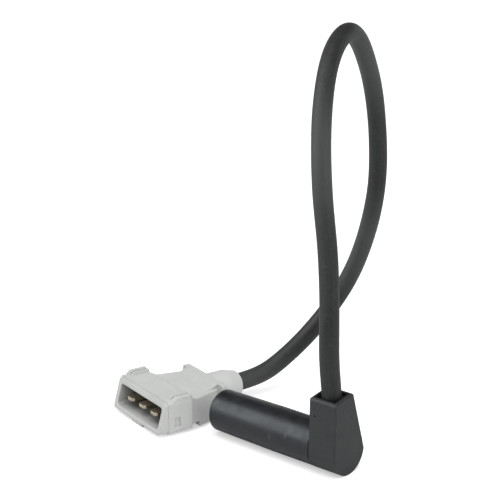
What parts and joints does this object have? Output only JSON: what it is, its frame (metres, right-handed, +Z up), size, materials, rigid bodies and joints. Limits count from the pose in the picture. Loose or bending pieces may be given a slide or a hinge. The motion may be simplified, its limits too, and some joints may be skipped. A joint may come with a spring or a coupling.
{
  "type": "crankshaft position sensor",
  "caption": "Crankshaft position sensor: plain round barrel with a right-angle potted head, a stiff rubber lead standing in a loop, and a flat pale plug with blade contacts.",
  "frame": {"origin": "On the floor under the middle of the sensor's own box, the lead and plug left out", "axes": "+X along the barrel from its tip to its head, +Y towards the plug's lead side, +Z up"},
  "size_m": [0.0651, 0.0609, 0.0951],
  "materials": {
    "housing": "satin charcoal glass-filled nylon",
    "bobbin": "black moulding",
    "copper": "enamelled copper",
    "tape": "amber film",
    "iron": "turned soft iron",
    "magnet": "sintered",
    "tin": "bright tin plate over brass",
    "core_white": "extruded insulation",
    "core_green": "extruded insulation",
    "resin": "poured black resin",
    "jacket": "dusty matt rubber",
    "plug": "light grey satin moulding"
  },
  "bodies": {
    "root": {"sensor_housing": "housing", "coil_bobbin": "bobbin", "coil_winding": "copper", "winding_tape": "tape", "pole_pin": "iron", "magnet": "magnet", "terminal_left": "tin", "terminal_right": "tin", "core_left": "core_white", "core_right": "core_green", "potting": "resin", "cable": "jacket", "plug_housing": "plug", "blade_left": "tin", "blade_middle": "tin", "blade_right": "tin", "plug_core_left": "core_white", "plug_core_right": "core_green", "plug_drain": "tin"}
  },
  "joints": []
}
